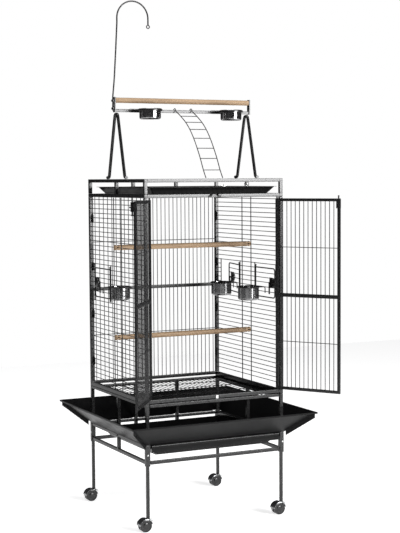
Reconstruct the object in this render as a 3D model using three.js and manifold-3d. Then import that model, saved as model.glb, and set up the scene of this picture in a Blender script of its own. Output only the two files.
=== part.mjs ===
// Play-top bird cage on a four-legged rolling stand. Millimetres, +Z up, front of the cage towards -Y.
import * as THREE from "three";
import { mergeVertices } from "three/addons/utils/BufferGeometryUtils.js";
import Module from "manifold-3d";

const wasm = await Module();
wasm.setup();

// Driving dimensions.
const WIDTH = 620; // outside of the corner posts, left to right
const DEPTH = 592; // outside of the corner posts, front to back
const TUBE = 14; // square tube of the cage and of the upper stand
const SLEEVE = 18; // square sleeve that takes each leg
const LEG = 12; // square leg
const PITCH = 19.5; // spacing of the bars
const BAR = 1.6; // radius of a cage bar
const JAMB = 2.6; // radius of the bars beside a feeder opening
const GAP = 0.3; // clearance between neighbouring pieces

// Heights above the floor.
const WHEEL_R = 25;
const WHEEL_TRAIL = 14; // axle behind the swivel
const LEG_FOOT = 53;
const STRETCHER_Z = 266;
const SLEEVE_FOOT = 260;
const SLEEVE_TOP = 344;
const GUARD_RAIL_Z = 331;
const GUARD_RAIL_H = 11;
const GUARD_EDGE_Z = 432;
const STAND_RAIL_Z = 493;
const STAND_TOP = 505;
const FLOOR_RAIL_Z = 508.5;
const FLOOR_RAIL_TOP = 522.5;
const ROOF_Z = 1318;
const ROOF_TOP = 1332;
const PLAY_RAIL_Z = 1379;
const PLAY_TOP = 1393;
const CUP_RAIL_Z = 1666.3;
const TOP_PERCH_Z = 1714;
const LEFT_BRACKET_X = -308.5; // upright plates that hold the top perch
const RIGHT_BRACKET_X = 312.5;
const FIRST_BAR_Z = 1307.8;
const SIDE_BARS = 40;

// Doors and feeders.
const DOOR_AXIS_X = 286;
const DOOR_AXIS_Y = -291;
const DOOR_W = 285; // hinge axis to free edge
const DOOR_STILE = 12;
const DOOR_DEPTH = 9.6;
const BOLT_ALONG = 272;
const DOOR_Z = 525;
const DOOR_TOP = 1311;
const LEFT_OPEN = 125.3; // degrees from closed
const RIGHT_OPEN = 122.5;
const FEEDER_HINGE_X = 304;
const FEEDER_HINGE_Y = 74;
const FEEDER_W = 165;
const FEEDER_Z = 895;
const FEEDER_TOP = 1017;
const REAR_FEEDER_AJAR = 12;

// Seed guards: half sizes at the outer edge.
const GUARD_X = 409;
const GUARD_Y = 395;

// Centre of the model's box on the floor with the doors open, moved to the origin.
const BOX_CENTRE = [-5.265, -66.975];

const HX = WIDTH / 2;
const HY = DEPTH / 2;
const POST_X = HX - TUBE / 2;
const POST_Y = HY - TUBE / 2;
const INNER_X = HX - TUBE;
const INNER_Y = HY - TUBE;

const hammertone = { color: 0x232324, roughness: 0.42, metalness: 0.55 };
const blackSheet = { color: 0x1b1b1c, roughness: 0.48, metalness: 0.4 };
const steel = { color: 0xc9ccce, roughness: 0.16, metalness: 1.0 };
const wood = { color: 0xb8926a, roughness: 0.72, metalness: 0.0 };
const plastic = { color: 0x17171a, roughness: 0.5, metalness: 0.0 };
const gunmetal = { color: 0x5b5e60, roughness: 0.28, metalness: 0.9 };

const cage = new THREE.Group();

// ---- solids ----

function solid(geometry) {
  const bare = geometry.index ? geometry.toNonIndexed() : geometry.clone();
  bare.deleteAttribute("normal");
  bare.deleteAttribute("uv");
  const merged = mergeVertices(bare, 1e-4);
  const index = merged.index.array;
  const kept = [];
  for (let i = 0; i < index.length; i += 3) {
    const [a, b, c] = [index[i], index[i + 1], index[i + 2]];
    if (a !== b && b !== c && c !== a) kept.push(a, b, c);
  }
  const mesh = new wasm.Mesh({
    numProp: 3,
    vertProperties: new Float32Array(merged.attributes.position.array),
    triVerts: new Uint32Array(kept),
  });
  return new wasm.Manifold(mesh);
}

function frange(first, count, step) {
  return Array.from({ length: count }, (_, i) => first + i * step);
}

function join(pieces) {
  return pieces.reduce((sum, piece) => sum.add(piece));
}

function cut(body, tools) {
  return tools.reduce((rest, tool) => rest.subtract(tool), body);
}

function box(x, y, z) {
  const [x0, x1] = [Math.min(...x), Math.max(...x)];
  const [y0, y1] = [Math.min(...y), Math.max(...y)];
  const [z0, z1] = [Math.min(...z), Math.max(...z)];
  const geometry = new THREE.BoxGeometry(x1 - x0, y1 - y0, z1 - z0);
  geometry.translate((x0 + x1) / 2, (y0 + y1) / 2, (z0 + z1) / 2);
  return solid(geometry);
}

// A straight round bar from one point to another.
function bar(from, to, radius, sides = 4) {
  const start = new THREE.Vector3(...from);
  const end = new THREE.Vector3(...to);
  const axis = end.clone().sub(start);
  const geometry = new THREE.CylinderGeometry(radius, radius, axis.length(), sides);
  geometry.rotateY(Math.PI / sides);
  const turn = new THREE.Quaternion().setFromUnitVectors(new THREE.Vector3(0, 1, 0), axis.normalize());
  geometry.applyQuaternion(turn);
  const middle = start.add(end).multiplyScalar(0.5);
  geometry.translate(middle.x, middle.y, middle.z);
  return solid(geometry);
}

// A round rod through a list of points lying in one plane, mitred at each point. "normal" is the
// plane's normal; a closed rod joins its last point to its first.
function rod(points, normal, radius, sides, closed = false) {
  const at = points.map((p) => new THREE.Vector3(...p));
  const up = new THREE.Vector3(...normal);
  const count = at.length;
  const vertices = [];
  at.forEach((point, i) => {
    const before = at[closed ? (i + count - 1) % count : Math.max(i - 1, 0)];
    const after = at[closed ? (i + 1) % count : Math.min(i + 1, count - 1)];
    const into = point.clone().sub(before);
    const out = after.clone().sub(point);
    if (into.lengthSq() === 0) into.copy(out);
    if (out.lengthSq() === 0) out.copy(into);
    into.normalize();
    const along = into.clone().add(out.normalize()).normalize();
    const across = up.clone().cross(along).divideScalar(along.dot(into));
    for (let k = 0; k < sides; k += 1) {
      const angle = (2 * Math.PI * (k + 0.5)) / sides;
      const vertex = point.clone().addScaledVector(across, radius * Math.cos(angle));
      vertices.push(...vertex.addScaledVector(up, radius * Math.sin(angle)).toArray());
    }
  });
  const faces = [];
  const rings = closed ? count : count - 1;
  for (let i = 0; i < rings; i += 1) {
    const near = i * sides;
    const far = ((i + 1) % count) * sides;
    for (let k = 0; k < sides; k += 1) {
      const next = (k + 1) % sides;
      faces.push(near + k, near + next, far + next, near + k, far + next, far + k);
    }
  }
  const end = (count - 1) * sides;
  for (let k = 1; k < sides - 1 && !closed; k += 1) faces.push(0, k + 1, k, end, end + k, end + k + 1);
  const geometry = new THREE.BufferGeometry();
  geometry.setAttribute("position", new THREE.Float32BufferAttribute(vertices, 3));
  geometry.setIndex(faces);
  return solid(geometry);
}

// The points of a bent line with each inner corner cut back by "bend" and rounded by three points.
function rounded(points, bend) {
  const at = points.map((p) => new THREE.Vector3(...p));
  const result = [points[0]];
  for (let i = 1; i < at.length - 1; i += 1) {
    const before = at[i].clone().add(at[i - 1].clone().sub(at[i]).setLength(bend));
    const after = at[i].clone().add(at[i + 1].clone().sub(at[i]).setLength(bend));
    const middle = before.clone().add(after).multiplyScalar(0.25).addScaledVector(at[i], 0.5);
    result.push(before.toArray(), middle.toArray(), after.toArray());
  }
  result.push(points[points.length - 1]);
  return result;
}

// Points round a circle, or part of one; "place" puts a pair of plane coordinates into space.
function arcPoints(radius, from, to, count, place) {
  return frange(from, count, (to - from) / (count - 1)).map((degrees) => {
    const angle = THREE.MathUtils.degToRad(degrees);
    return place(radius * Math.cos(angle), radius * Math.sin(angle));
  });
}

// A turned shape about Z from [radius, height] points.
function turned(profile, sides) {
  const geometry = new THREE.LatheGeometry(profile.map((p) => new THREE.Vector2(...p)), sides);
  geometry.rotateX(Math.PI / 2);
  return geometry;
}

// A solid with four lower and four upper corners, each list going round anticlockwise seen from +Z.
function frustum(lower, upper) {
  const corners = [...lower, ...upper];
  const faces = [0, 2, 1, 0, 3, 2, 4, 5, 6, 4, 6, 7];
  for (let i = 0; i < 4; i += 1) {
    const next = (i + 1) % 4;
    faces.push(i, next, next + 4, i, next + 4, i + 4);
  }
  const geometry = new THREE.BufferGeometry();
  geometry.setAttribute("position", new THREE.Float32BufferAttribute(corners.flat(), 3));
  geometry.setIndex(faces);
  return solid(geometry);
}

function rectangle(x0, x1, y0, y1, z) {
  return [[x0, y0, z], [x1, y0, z], [x1, y1, z], [x0, y1, z]];
}

// A flat outline in the plane of two axes, given a thickness along the third (X).
function plateX(outline, x0, x1) {
  const shape = new THREE.Shape(outline.map((p) => new THREE.Vector2(...p)));
  const geometry = new THREE.ExtrudeGeometry(shape, { depth: x1 - x0, bevelEnabled: false });
  geometry.applyMatrix4(new THREE.Matrix4().set(0, 0, 1, x0, 1, 0, 0, 0, 0, 1, 0, 0, 0, 0, 0, 1));
  return solid(geometry);
}

function add(name, body, look, position = [0, 0, 0], turn = 0) {
  const data = body.getMesh();
  const geometry = new THREE.BufferGeometry();
  geometry.setAttribute("position", new THREE.Float32BufferAttribute(data.vertProperties, 3));
  geometry.setIndex(new THREE.Uint32BufferAttribute(data.triVerts, 1));
  geometry.computeVertexNormals();
  const mesh = new THREE.Mesh(geometry, new THREE.MeshStandardMaterial(look));
  mesh.name = name;
  mesh.position.set(...position);
  mesh.rotation.z = THREE.MathUtils.degToRad(turn);
  cage.add(mesh);
  return mesh;
}

// ---- rolling stand ----

// Half cover over the twin wheel, a web between its two treads, and the stem that turns in the leg.
function casterHood() {
  const cover = new THREE.Shape();
  cover.absarc(0, 0, 28, THREE.MathUtils.degToRad(12), THREE.MathUtils.degToRad(176), false);
  cover.absarc(0, 0, 26, THREE.MathUtils.degToRad(176), THREE.MathUtils.degToRad(12), true);
  cover.closePath();
  const web = new THREE.Shape();
  web.moveTo(-12, -9);
  web.lineTo(12, -9);
  web.lineTo(27, 0);
  web.absarc(0, 0, 27, 0, Math.PI, false);
  web.closePath();
  const upright = (shape, width) => {
    const geometry = new THREE.ExtrudeGeometry(shape, { depth: width, bevelEnabled: false, curveSegments: 9 });
    geometry.rotateX(Math.PI / 2);
    geometry.translate(-WHEEL_TRAIL, width / 2, WHEEL_R);
    return solid(geometry);
  };
  const axle = (radius, sides) => {
    return bar([-WHEEL_TRAIL, -30, WHEEL_R], [-WHEEL_TRAIL, 30, WHEEL_R], radius, sides);
  };
  const collar = bar([0, 0, 40], [0, 0, LEG_FOOT - GAP], 8.5, 12);
  const tab = box([6, 17], [-6, 6], [41, 46]);
  const body = join([
    cut(join([collar, tab]), [axle(26.4, 24)]),
    upright(cover, 36),
    upright(web, 7),
    bar([0, 0, 50], [0, 0, 86], 4, 10),
  ]);
  return cut(body, [axle(3.5, 12)]);
}

// Two treads on one axle. A flat of the many-sided tread rests on the floor.
function casterWheel() {
  const sides = 20;
  const corner = WHEEL_R / Math.cos(Math.PI / sides);
  const profile = [
    [0, -17], [20, -16], [corner, -12], [corner, -4.2], [3, -4.2],
    [3, 4.2], [corner, 4.2], [corner, 12], [20, 16], [0, 17],
  ];
  const geometry = turned(profile, sides);
  geometry.rotateX(Math.PI / 2);
  geometry.rotateY(Math.PI / sides);
  return solid(geometry);
}

function leg() {
  const h = LEG / 2;
  const body = box([-h, h], [-h, h], [LEG_FOOT, 302]);
  return cut(body, [bar([0, 0, LEG_FOOT - 1], [0, 0, 90], 4.5, 12)]);
}

// One side of the stand: posts with leg sleeves, middle post, stretcher, rails and the tray runners.
function standSide(side) {
  const outer = [side * INNER_X, side * HX];
  const ring = [side * (POST_X - SLEEVE / 2), side * (POST_X + SLEEVE / 2)];
  const bore = LEG / 2 + 0.35;
  const pieces = [];
  const holes = [];
  for (const end of [-1, 1]) {
    pieces.push(box(outer, [end * INNER_Y, end * HY], [SLEEVE_TOP - 10, STAND_TOP]));
    const across = [end * (POST_Y - SLEEVE / 2), end * (POST_Y + SLEEVE / 2)];
    pieces.push(box(ring, across, [SLEEVE_FOOT, SLEEVE_TOP]));
    const x = side * POST_X;
    const y = end * POST_Y;
    holes.push(box([x - bore, x + bore], [y - bore, y + bore], [SLEEVE_FOOT - 1, 302.5]));
  }
  const run = [-INNER_Y - 1, INNER_Y + 1];
  pieces.push(box(outer, [-TUBE / 2, TUBE / 2], [STRETCHER_Z + 5, STAND_RAIL_Z + 5]));
  pieces.push(box([side * 297, side * 309], run, [STRETCHER_Z, STRETCHER_Z + TUBE]));
  pieces.push(box(outer, run, [GUARD_RAIL_Z, GUARD_RAIL_Z + GUARD_RAIL_H]));
  pieces.push(box(outer, run, [STAND_RAIL_Z, STAND_TOP]));
  pieces.push(box([side * 296, side * 298], [-272, 272], [324.4, GUARD_RAIL_Z + 1]));
  pieces.push(box([side * 283, side * 298], [-272, 272], [324.4, 326.2]));
  pieces.push(box([side * 285, side * 297], [-272, 272], [STAND_RAIL_Z - 3.6, STAND_RAIL_Z + 0.4]));
  return cut(join(pieces), holes);
}

function standBack() {
  const across = [-INNER_X + 3.5, INNER_X - 3.5];
  const thick = [INNER_Y, HY];
  return join([
    box(across, [283, 295], [STRETCHER_Z, STRETCHER_Z + TUBE]),
    box(across, thick, [GUARD_RAIL_Z, GUARD_RAIL_Z + GUARD_RAIL_H]),
    box([-INNER_X + GAP, INNER_X - GAP], thick, [491, 503]),
    box([-107, -93], thick, [STRETCHER_Z + 5, 496]),
    box([93, 107], thick, [STRETCHER_Z + 5, 496]),
  ]);
}

function frontStretcher() {
  return box([-290.5, 290.5], [-295, -283], [STRETCHER_Z, STRETCHER_Z + TUBE]);
}

// ---- seed guards ----

// A sloped sheet along one side, with mitred ends, an outer hem and bolted flanges under the mitres.
// "along" and "out" map the guard's own directions to X and Y.
function seedGuard(place, innerHalf, innerOut, outerHalf, outerOut, posts, rests, heads) {
  const t = 1.4;
  const z0 = SLEEVE_TOP + 1;
  const z1 = GUARD_EDGE_Z;
  const clear = 0.7;
  const at = (a, o, z) => {
    const [x, y] = place(a, o);
    return [x, y, z];
  };
  const ring = (points) => {
    const area = points.reduce((sum, p, i) => {
      const q = points[(i + 1) % points.length];
      return sum + p[0] * q[1] - q[0] * p[1];
    }, 0);
    return area > 0;
  };
  const block = (lower, upper) => {
    if (ring(lower)) return frustum(lower, upper);
    return frustum([...lower].reverse(), [...upper].reverse());
  };
  const quad = (a0, a1, b0, b1, inner, outer, zi, zo) => [
    at(a0, inner, zi), at(a1, inner, zi), at(b1, outer, zo), at(b0, outer, zo),
  ];
  const sheet = (drop, lift) => quad(
    -innerHalf + clear, innerHalf - clear, -outerHalf + clear, outerHalf - clear,
    innerOut, outerOut, z0 + lift - drop, z1 + lift - drop,
  );
  const pieces = [block(sheet(0, 0), sheet(0, t))];
  const hemHalf = outerHalf - clear;
  const hem = (z) => quad(-hemHalf, hemHalf, -hemHalf - 5, hemHalf + 5, outerOut - 0.5, outerOut + 5, z, z);
  pieces.push(block(hem(z1), hem(z1 + t)));
  const foot = (z) => quad(
    -innerHalf + 34, innerHalf - 34, -innerHalf + 34, innerHalf - 34, innerOut - 14, innerOut + 1, z, z,
  );
  if (rests) pieces.push(block(foot(GUARD_RAIL_Z + GUARD_RAIL_H + GAP), foot(z0 + t)));
  for (const end of [-1, 1]) {
    const strip = (offset, z, shift) => {
      const a0 = end * (innerHalf + 6 - clear - offset);
      const a1 = end * (outerHalf - 3 - clear - offset);
      const o0 = innerOut + 6;
      const o1 = outerOut - 3;
      const s0 = (z1 - z0) * (6 / (outerOut - innerOut));
      const s1 = (z1 - z0) * (1 - 3 / (outerOut - innerOut));
      return [
        at(a0, o0, z + z0 + s0 + shift), at(a0 + end * 1.6, o0, z + z0 + s0 + shift),
        at(a1 + end * 1.6, o1, z + z0 + s1 + shift), at(a1, o1, z + z0 + s1 + shift),
      ];
    };
    pieces.push(block(strip(2, -20, 0), strip(2, 0.6, 0)));
    if (heads.includes(end)) {
      for (const share of [0.3, 0.78]) {
        const a = end * (innerHalf + (outerHalf - innerHalf) * share - clear - 1);
        const o = innerOut + (outerOut - innerOut) * share;
        const z = z0 + (z1 - z0) * share - 10;
        pieces.push(bar(at(a, o, z), at(a - end * 3, o + 3, z), 3.4, 8));
      }
    }
  }
  const notch = (a, z) => quad(a - 17, a + 17, a - 17, a + 17, innerOut - 20, innerOut - 2, z, z);
  return cut(join(pieces), posts.map((a) => block(notch(a, GUARD_RAIL_Z), notch(a, z0 + t + 3))));
}

// ---- trays and grate ----

function pan(bottom, rim, zBottom, zRim, wall) {
  const outer = frustum(rectangle(...bottom, zBottom), rectangle(...rim, zRim));
  const slope = (rim[1] - bottom[1]) / (zRim - zBottom);
  const inset = wall * Math.sqrt(1 + slope * slope) * 1.05;
  const shrink = (r, d) => [r[0] + d, r[1] - d, r[2] + d, r[3] - d];
  const low = shrink(bottom, inset - wall * slope);
  const high = shrink(rim, inset - slope);
  const inner = frustum(rectangle(...low, zBottom + wall), rectangle(...high, zRim + 1));
  return cut(outer, [inner]);
}

function flange(outer, inner, z0, z1) {
  const sheet = box([outer[0], outer[1]], [outer[2], outer[3]], [z0, z1]);
  return cut(sheet, [box([inner[0], inner[1]], [inner[2], inner[3]], [z0 - 1, z1 + 1])]);
}

function bottomTray() {
  const bottom = [-256, 256, -262, 208];
  const rim = [-280, 280, -286, 240];
  const body = pan(bottom, rim, 297, 327, 1.4);
  const lip = flange([-288, 288, -286, 249], [-279, 279, -285, 239], 326.6, 328.4);
  const front = [
    box([-287, 287], [-298.4, -297], [314, 343]),
    box([-287, 287], [-301.5, -297], [341.6, 343]),
    box([-287, 287], [-298.4, -285], [326.6, 328.4]),
  ];
  return join([body, lip, ...front]);
}

function playTray() {
  const bottom = [-258, 258, -261, 235];
  const rim = [-279, 279, -282, 256];
  const body = pan(bottom, rim, 1332.3, 1360, 1.4);
  return body.add(flange([-286, 286, -289, 263], [-278, 278, -281, 255], 1359.4, 1361));
}

function floorGrate() {
  const z = STAND_RAIL_Z + 1;
  const pieces = [
    box([-293, 293], [-295.7, -284], [492.6, 504.6]),
    box([-292, -284], [-285, 279], [z, z + 8]),
    box([284, 292], [-285, 279], [z, z + 8]),
    box([-292, 292], [271, 279], [z, z + 8]),
  ];
  for (const x of frange(-14 * PITCH, 29, PITCH)) {
    pieces.push(bar([x, -286, z + 5], [x, 273, z + 5], BAR));
  }
  for (const y of [-190, -60, 70, 180]) {
    pieces.push(bar([-286, y, z + 2.2], [286, y, z + 2.2], BAR));
  }
  return join(pieces);
}

// ---- cage walls ----

function ear(side, end, z) {
  const root = end * (INNER_Y + 1);
  const tip = end * (INNER_Y - 15);
  const outline = [[root, z - 20], [tip, z - 13], [tip, z + 13], [root, z + 20]];
  const ordered = end > 0 ? outline.reverse() : outline;
  const x = [side * 296.5, side * 299.5].sort((a, b) => a - b);
  return plateX(ordered, x[0], x[1]);
}

// A side wall with level bars; each feeder opening is "front" (-1) or "rear" (+1).
function sideWall(side, openings) {
  const x = side * FEEDER_HINGE_X;
  const outer = [side * INNER_X, side * HX];
  const rail = [side * (INNER_X + 0.5), side * (HX - 0.5)];
  const pieces = [box(rail, [-INNER_Y - 1, INNER_Y + 1], [STAND_TOP + 1, FLOOR_RAIL_TOP])];
  for (const end of [-1, 1]) {
    pieces.push(box(outer, [end * INNER_Y, end * HY], [STAND_TOP + GAP, ROOF_Z - GAP]));
    for (const z of [613, 816, 1020, 1226]) pieces.push(ear(side, end, z));
  }
  for (const y of [-40, 40]) {
    pieces.push(bar([side * 299.4, y, FLOOR_RAIL_TOP - 2], [side * 299.4, y, ROOF_Z - GAP], 2.1));
  }
  for (let i = 0; i < SIDE_BARS; i += 1) {
    const z = FIRST_BAR_Z - i * PITCH;
    const cutRow = i >= 15 && i <= 21;
    const from = cutRow && openings.includes(-1) ? -67 : -INNER_Y - 2;
    const to = cutRow && openings.includes(1) ? 67 : INNER_Y + 2;
    pieces.push(bar([x, from, z], [x, to, z], BAR));
    for (const end of cutRow ? openings : []) {
      pieces.push(bar([x, end * 247, z], [x, end * (INNER_Y + 2), z], BAR));
    }
  }
  const low = FIRST_BAR_Z - 22 * PITCH - 2;
  const high = FIRST_BAR_Z - 14 * PITCH + 2;
  const holes = [];
  for (const end of openings) {
    for (const y of [67, 247]) pieces.push(bar([x, end * y, low], [x, end * y, high], JAMB));
    for (const z of [FEEDER_Z - 8, FEEDER_TOP + 8]) {
      pieces.push(box([x - 4.6, x + 4.6], [end * 66, end * 79], [z - 2.5, z + 2.5]));
      holes.push(bar([x, end * FEEDER_HINGE_Y, z - 4], [x, end * FEEDER_HINGE_Y, z + 4], 2.9, 12));
    }
  }
  return cut(join(pieces), holes);
}

function backWall() {
  const y = POST_Y;
  const half = INNER_X - GAP;
  const pieces = [
    box([-half, half], [INNER_Y, HY], [511, 524]),
    box([-half, half], [INNER_Y, HY], [913, 927]),
  ];
  const upright = (x, radius) => bar([x, y, 523], [x, y, ROOF_Z - GAP], radius);
  for (const x of frange(-14.5 * PITCH, 30, PITCH)) pieces.push(upright(x, BAR));
  for (const x of [-half + 2, half - 2]) pieces.push(upright(x, 2.8));
  for (const z of [722, 1124]) pieces.push(box([-half, half], [y - 4, y - 1.6], [z - 1.5, z + 1.5]));
  return join(pieces);
}

function frontSill() {
  const half = INNER_X - GAP;
  const body = box([-half, half], [-HY, -INNER_Y], [FLOOR_RAIL_Z, FLOOR_RAIL_TOP]);
  const pins = [-DOOR_AXIS_X, DOOR_AXIS_X].map((x) => {
    return bar([x, DOOR_AXIS_Y, 515], [x, DOOR_AXIS_Y, 524], 4, 12);
  });
  return cut(body, pins);
}

function roofFrame() {
  const span = [ROOF_Z, ROOF_TOP];
  const pieces = [
    box([-HX, -INNER_X], [-HY, HY], span),
    box([INNER_X, HX], [-HY, HY], span),
    box([-INNER_X - 1, INNER_X + 1], [-HY, -INNER_Y], span),
    box([-INNER_X - 1, INNER_X + 1], [INNER_Y, HY], span),
  ];
  for (let i = 0; i < 30; i += 1) {
    const x = (i - 14.5) * PITCH;
    pieces.push(bar([x, -INNER_Y - 2, 1330], [x, INNER_Y + 2, 1330], BAR));
  }
  for (const y of [-95, 95]) pieces.push(bar([-INNER_X - 2, y, 1326.5], [INNER_X + 2, y, 1326.5], 2));
  for (const x of [-14, 14]) {
    pieces.push(box([x - 7, x + 7], [-308.5, -HY + 1], [1325.5, 1331]));
  }
  const holes = [-DOOR_AXIS_X, DOOR_AXIS_X].map((x) => {
    return bar([x, DOOR_AXIS_Y, 1316], [x, DOOR_AXIS_Y, 1326], 4, 12);
  });
  const boltY = DOOR_AXIS_Y - 11.5;
  for (const x of [-14, 14]) holes.push(bar([x, boltY, 1320], [x, boltY, 1334], 4.2, 12));
  return cut(join(pieces), holes);
}

function playFrame() {
  const span = [PLAY_RAIL_Z, PLAY_TOP];
  const upright = [ROOF_TOP + GAP, PLAY_RAIL_Z + 2];
  const pieces = [
    box([-HX, -INNER_X], [-HY, HY], span),
    box([INNER_X, HX], [-HY, HY], span),
    box([-INNER_X - 1, INNER_X + 1], [-HY, -INNER_Y], span),
    box([-INNER_X - 1, INNER_X + 1], [INNER_Y, HY], span),
  ];
  for (const side of [-1, 1]) {
    const x = [side * INNER_X, side * HX];
    pieces.push(box(x, [-HY, -INNER_Y], upright));
    pieces.push(box(x, [INNER_Y, HY], upright));
    pieces.push(box(x, [-TUBE / 2, TUBE / 2], upright));
    pieces.push(box([side * 103 - 7, side * 103 + 7], [INNER_Y, HY], upright));
  }
  return join(pieces);
}

// ---- main doors ----

// Built closed, from the hinge axis at the origin along +X for hand = 1; the outside faces -Y.
function mainDoor(hand) {
  const s = (a, b) => [hand * a, hand * b];
  const h = DOOR_STILE / 2;
  const deep = [-DOOR_DEPTH / 2, DOOR_DEPTH / 2];
  const free = DOOR_W - DOOR_STILE;
  const inside = s(h - 1, free + 1);
  const pieces = [
    box(s(-h, h), deep, [DOOR_Z, DOOR_TOP]),
    box(s(free, DOOR_W), deep, [DOOR_Z, DOOR_TOP]),
    box(inside, deep, [DOOR_TOP - 12, DOOR_TOP]),
    box(inside, deep, [DOOR_Z, DOOR_Z + 12]),
    box(inside, deep, [908, 923]),
    bar([0, 0, DOOR_Z - 8.5], [0, 0, DOOR_Z + 2], 3.4, 10),
    bar([0, 0, DOOR_TOP - 2], [0, 0, ROOF_Z + 7], 3.4, 10),
    box(s(264, 280), [-16.5, -3], [1271, 1308]),
  ];
  for (const x of frange(26, 13, 19.2)) {
    pieces.push(bar([hand * x, 0, DOOR_Z + 10], [hand * x, 0, DOOR_TOP - 10], BAR));
  }
  for (const z of [725, 1112]) pieces.push(box(inside, [-4.2, -1.6], [z - 1.5, z + 1.5]));
  const bore = bar([hand * BOLT_ALONG, -11.5, 1262], [hand * BOLT_ALONG, -11.5, 1312], 3.9, 12);
  const slot = box(s(BOLT_ALONG - 3.6, BOLT_ALONG + 3.6), [-17.5, -11.5], [1283, 1302]);
  return cut(join(pieces), [bore, slot]);
}

// The pull-up bolt: a straight pin with a finger stub through the guide's slot.
function doorBolt(hand) {
  const x = hand * BOLT_ALONG;
  return join([
    bar([x, -11.5, 1256], [x, -11.5, 1323.5], 3.1, 10),
    bar([x, -11.5, 1288], [x, -22, 1288], 2.6, 8),
    bar([x, -11.5, 1256], [x, -11.5, 1261], 4.6, 10),
  ]);
}

// ---- feeders ----

const CUP_OUT = 66; // cup centre inwards from the wall
const CUP_ALONG = 57; // cup centre from the hinge
const CUP_R = 44;
const RING_Z = 938;
const KNOB_ALONG = 130;
const KNOB_Z = 956;

// A wire-framed feeder door about its hinge at the origin. "out" is the sign of X pointing out of the
// cage and "run" the sign of Y towards the free edge.
function feederDoor(out, run) {
  const p = (u, v, z) => [out * u, run * v, z];
  const frame = [p(0, 0, FEEDER_TOP), p(0, FEEDER_W, FEEDER_TOP), p(0, FEEDER_W, FEEDER_Z), p(0, 0, FEEDER_Z)];
  const pieces = [
    bar(p(0, 0, FEEDER_Z - 12), p(0, 0, FEEDER_TOP + 12), 2.5, 8),
    rod(rounded(frame, 12), [1, 0, 0], 2.4, 6),
    cupRing(-out * CUP_OUT, run * CUP_ALONG, RING_Z),
    box([out * 1, out * 3], [run * (KNOB_ALONG - 14), run * (KNOB_ALONG + 14)], [935, 979]),
  ];
  for (const z of frange(917.8, 5, PITCH)) {
    pieces.push(bar(p(0, 0, z), p(0, FEEDER_W, z), 1.5));
  }
  for (const side of [-30, 30]) {
    const v = CUP_ALONG + side;
    const reach = CUP_OUT - Math.sqrt((CUP_R + 3.2) ** 2 - side * side);
    const arm = [p(-reach - 2, v, RING_Z), p(-2.6, v, RING_Z), p(-2.6, v, 914)];
    pieces.push(rod(rounded(arm, 5), [0, 1, 0], 2.1, 5));
  }
  return cut(join(pieces), [bar(p(-5, KNOB_ALONG, KNOB_Z), p(6, KNOB_ALONG, KNOB_Z), 4.3, 12)]);
}

// A level wire ring that a cup hangs in by its lip.
function cupRing(x, y, z) {
  const points = arcPoints(CUP_R + 3.2, 0, 340, 18, (a, b) => [x + a, y + b, z]);
  return rod(points, [0, 0, 1], 2.2, 5, true);
}

// Round lock knob with a tongue inside the wall that hangs down when unlocked.
function feederKnob(out) {
  const profile = [[0, 4], [20, 4], [21, 10], [17, 14], [0, 15]];
  const disc = turned(profile, 18);
  disc.rotateY(out * Math.PI / 2);
  return join([
    solid(disc),
    bar([out * -8, 0, 0], [out * 5, 0, 0], 3.8, 10),
    box([out * -8, out * -5.5], [-5, 5], [-46, 5]),
  ]);
}

function cup(radius, height, lip) {
  const wall = 1.1;
  const profile = [
    [0, 0], [radius - 6, 0], [radius, 7], [radius, height - 1.4], [radius + lip, height - 1.4],
    [radius + lip, height], [radius - wall, height], [radius - wall, 7.6], [radius - 6.6, wall], [0, wall],
  ];
  return solid(turned(profile, 20));
}

// ---- play stand ----

// A hairpin of round tube, its feet turned out level along the rail.
function trestle(side) {
  const x = side * 300;
  const half = [[101, PLAY_TOP + 6.6], [82.5, PLAY_TOP + 6.6], [20.5, 1632], [12.5, 1657.5]];
  const line = [...half.map(([y, z]) => [x, y, z]), ...half.map(([y, z]) => [x, -y, z]).reverse()];
  return rod(rounded(line, 8), [1, 0, 0], 6.3, 8);
}

function bracket(side) {
  const x = side < 0 ? LEFT_BRACKET_X : RIGHT_BRACKET_X;
  const pieces = [box([x - 2.5, x + 2.5], [-10, 10], [1665, 1727])];
  const holes = [];
  if (side < 0) {
    for (const z of [1680, 1712]) {
      pieces.push(box([x - 12.5, x], [-7.5, 7.5], [z - 4, z + 4]));
      holes.push(bar([x - 6.5, 0, z - 6], [x - 6.5, 0, z + 6], 3.6, 12));
    }
  }
  return cut(join(pieces), holes);
}

// The tall rod from the left bracket, curled over the perch and ending in an eye for a toy.
function toyHook() {
  const line = [[-315, 1672], [-315, 1724], [-307.5, 1800], [-300, 1915], [-293.5, 2030]].map(([x, z]) => [x, 0, z]);
  const curl = arcPoints(69, 180, 0, 13, (a, b) => [-224.5 + a, 0, 2048 + b]);
  const eye = arcPoints(6.5, 0, 324, 10, (a, b) => [-155.5 + a, 0, 2016 + b]);
  return join([
    rod([...line, ...curl, [-155.5, 0, 2021]], [0, 1, 0], 3.2, 6),
    rod(eye, [0, -1, 0], 2.2, 6, true),
  ]);
}

// Two bent wires hooked over the cup rail and seven rungs, its foot on the front rail.
function ladder() {
  const rungs = [
    [-58, 1650.5], [-104, 1624], [-143, 1593.5], [-178.5, 1556.5], [-210, 1515.5], [-238, 1474], [-265, 1427.5],
  ];
  const pieces = rungs.map(([y, z]) => bar([-37, y, z], [38, y, z], 1.6));
  for (const x of [-37, 38]) {
    const hook = arcPoints(12, -20, 178, 9, (a, b) => [x, a, CUP_RAIL_Z + 6 + b]);
    const wire = [...hook, ...rungs.map(([y, z]) => [x, y, z]), [x, -287.5, 1395.8]];
    pieces.push(rod(wire, [1, 0, 0], 1.9, 6));
  }
  return join(pieces);
}

function cupRail() {
  const ends = [LEFT_BRACKET_X + 2.8, RIGHT_BRACKET_X - 2.8];
  return box(ends, [-6, 6], [CUP_RAIL_Z, CUP_RAIL_Z + 12]);
}

const TOP_CUP_Y = -60;
const TOP_RING_Z = 1675.5;

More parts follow.
